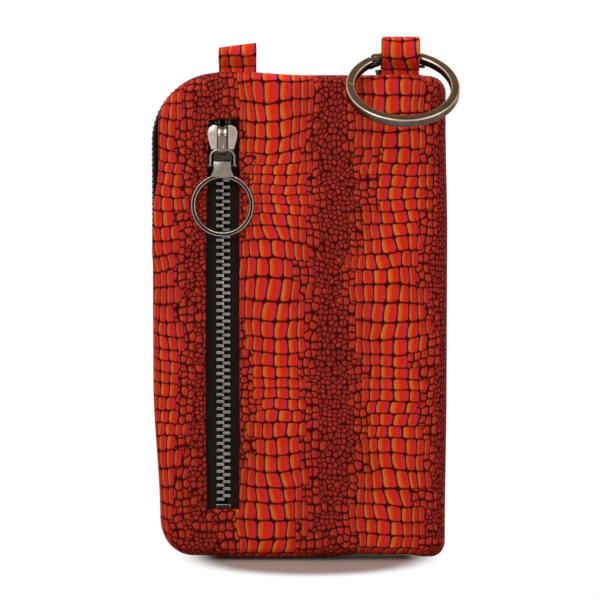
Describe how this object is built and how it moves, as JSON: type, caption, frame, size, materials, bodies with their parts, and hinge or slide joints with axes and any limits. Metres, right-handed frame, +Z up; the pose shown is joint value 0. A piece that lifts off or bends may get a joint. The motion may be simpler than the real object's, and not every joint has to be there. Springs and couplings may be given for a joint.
{
  "type": "phone pouch",
  "caption": "Padded zip pouch for a phone in red reptile-print cloth, with a front zip pocket, strap tabs and a gate ring.",
  "frame": {"origin": "centre of the left strap tab's eye, from which the pouch hangs", "axes": "+Z up along the pouch's height, +X across its width towards the gate ring, +Y from its front to its back"},
  "size_m": [0.1127, 0.0474, 0.194],
  "materials": {
    "printed_cloth": "matte",
    "lining_cloth": "matte",
    "zip_tape": "matte",
    "tooth_metal": "satin",
    "bright_nickel": "polished",
    "black_nylon": "matte",
    "gunmetal": "satin"
  },
  "bodies": {
    "pouch": {"front_panel": "printed_cloth", "back_panel": "printed_cloth", "front_lining": "lining_cloth", "back_lining": "lining_cloth", "pocket_bag": "lining_cloth", "front_zip_tape_left": "zip_tape", "front_zip_tape_right": "zip_tape", "front_zip_teeth_left": "tooth_metal", "front_zip_teeth_right": "tooth_metal", "front_zip_top_stops": "tooth_metal", "front_zip_bottom_stop": "tooth_metal", "main_zip_tape_front": "zip_tape", "main_zip_tape_back": "zip_tape", "main_zip_teeth_front": "black_nylon", "main_zip_teeth_back": "black_nylon", "main_zip_stop": "black_nylon", "left_strap_tab": "printed_cloth", "right_strap_tab": "printed_cloth"},
    "front_slider": {"front_slider": "bright_nickel"},
    "pull_bail": {"pull_bail": "bright_nickel", "pull_rivet": "bright_nickel"},
    "ring_pull": {"ring_pull": "bright_nickel"},
    "main_slider": {"main_slider": "gunmetal"},
    "main_pull": {"main_pull": "gunmetal"},
    "gate_ring": {"ring_body": "gunmetal", "ring_hinge_pin": "gunmetal", "ring_gate_spring": "gunmetal"},
    "ring_gate": {"ring_gate": "gunmetal"}
  },
  "joints": [
    {"name": "front_zip_slide", "type": "slide", "parent": "pouch", "child": "front_slider", "axis": [0, 0, -1], "range_m": [0, 0.126], "deforming": ["front_zip_teeth_left", "front_zip_teeth_right"]},
    {"name": "bail_swing", "type": "hinge", "parent": "front_slider", "child": "pull_bail", "pos_m": [-0.0054, -0.00655, -0.0353], "axis": [-1, 0, 0], "range_deg": [0, 120]},
    {"name": "ring_pull_swing", "type": "hinge", "parent": "pull_bail", "child": "ring_pull", "pos_m": [-0.0054, -0.00655, -0.0409], "axis": [-1, 0, 0], "range_deg": [0, 60]},
    {"name": "main_zip_slide", "type": "slide", "parent": "pouch", "child": "main_slider", "axis": [-1, 0, 0], "range_m": [0, 0.058], "deforming": ["main_zip_teeth_front", "main_zip_teeth_back"]},
    {"name": "main_pull_swing", "type": "hinge", "parent": "main_slider", "child": "main_pull", "pos_m": [0.0544, 0.0057, -0.00385], "axis": [0, -1, 0], "range_deg": [0, 170]},
    {"name": "gate_ring_swing", "type": "hinge", "parent": "pouch", "child": "gate_ring", "pos_m": [0.06, -0.0011, -0.0011], "axis": [-1, 0, 0], "range_deg": [-14, 150]},
    {"name": "ring_gate_swing", "type": "hinge", "parent": "gate_ring", "child": "ring_gate", "pos_m": [0.05084, -0.00236, -0.00224], "axis": [0, -0.6691, 0.7431], "range_deg": [0, 38], "stiffness_Nm_per_rad": 0.012, "springref_deg": -20.05, "deforming": ["ring_gate_spring"]}
  ]
}
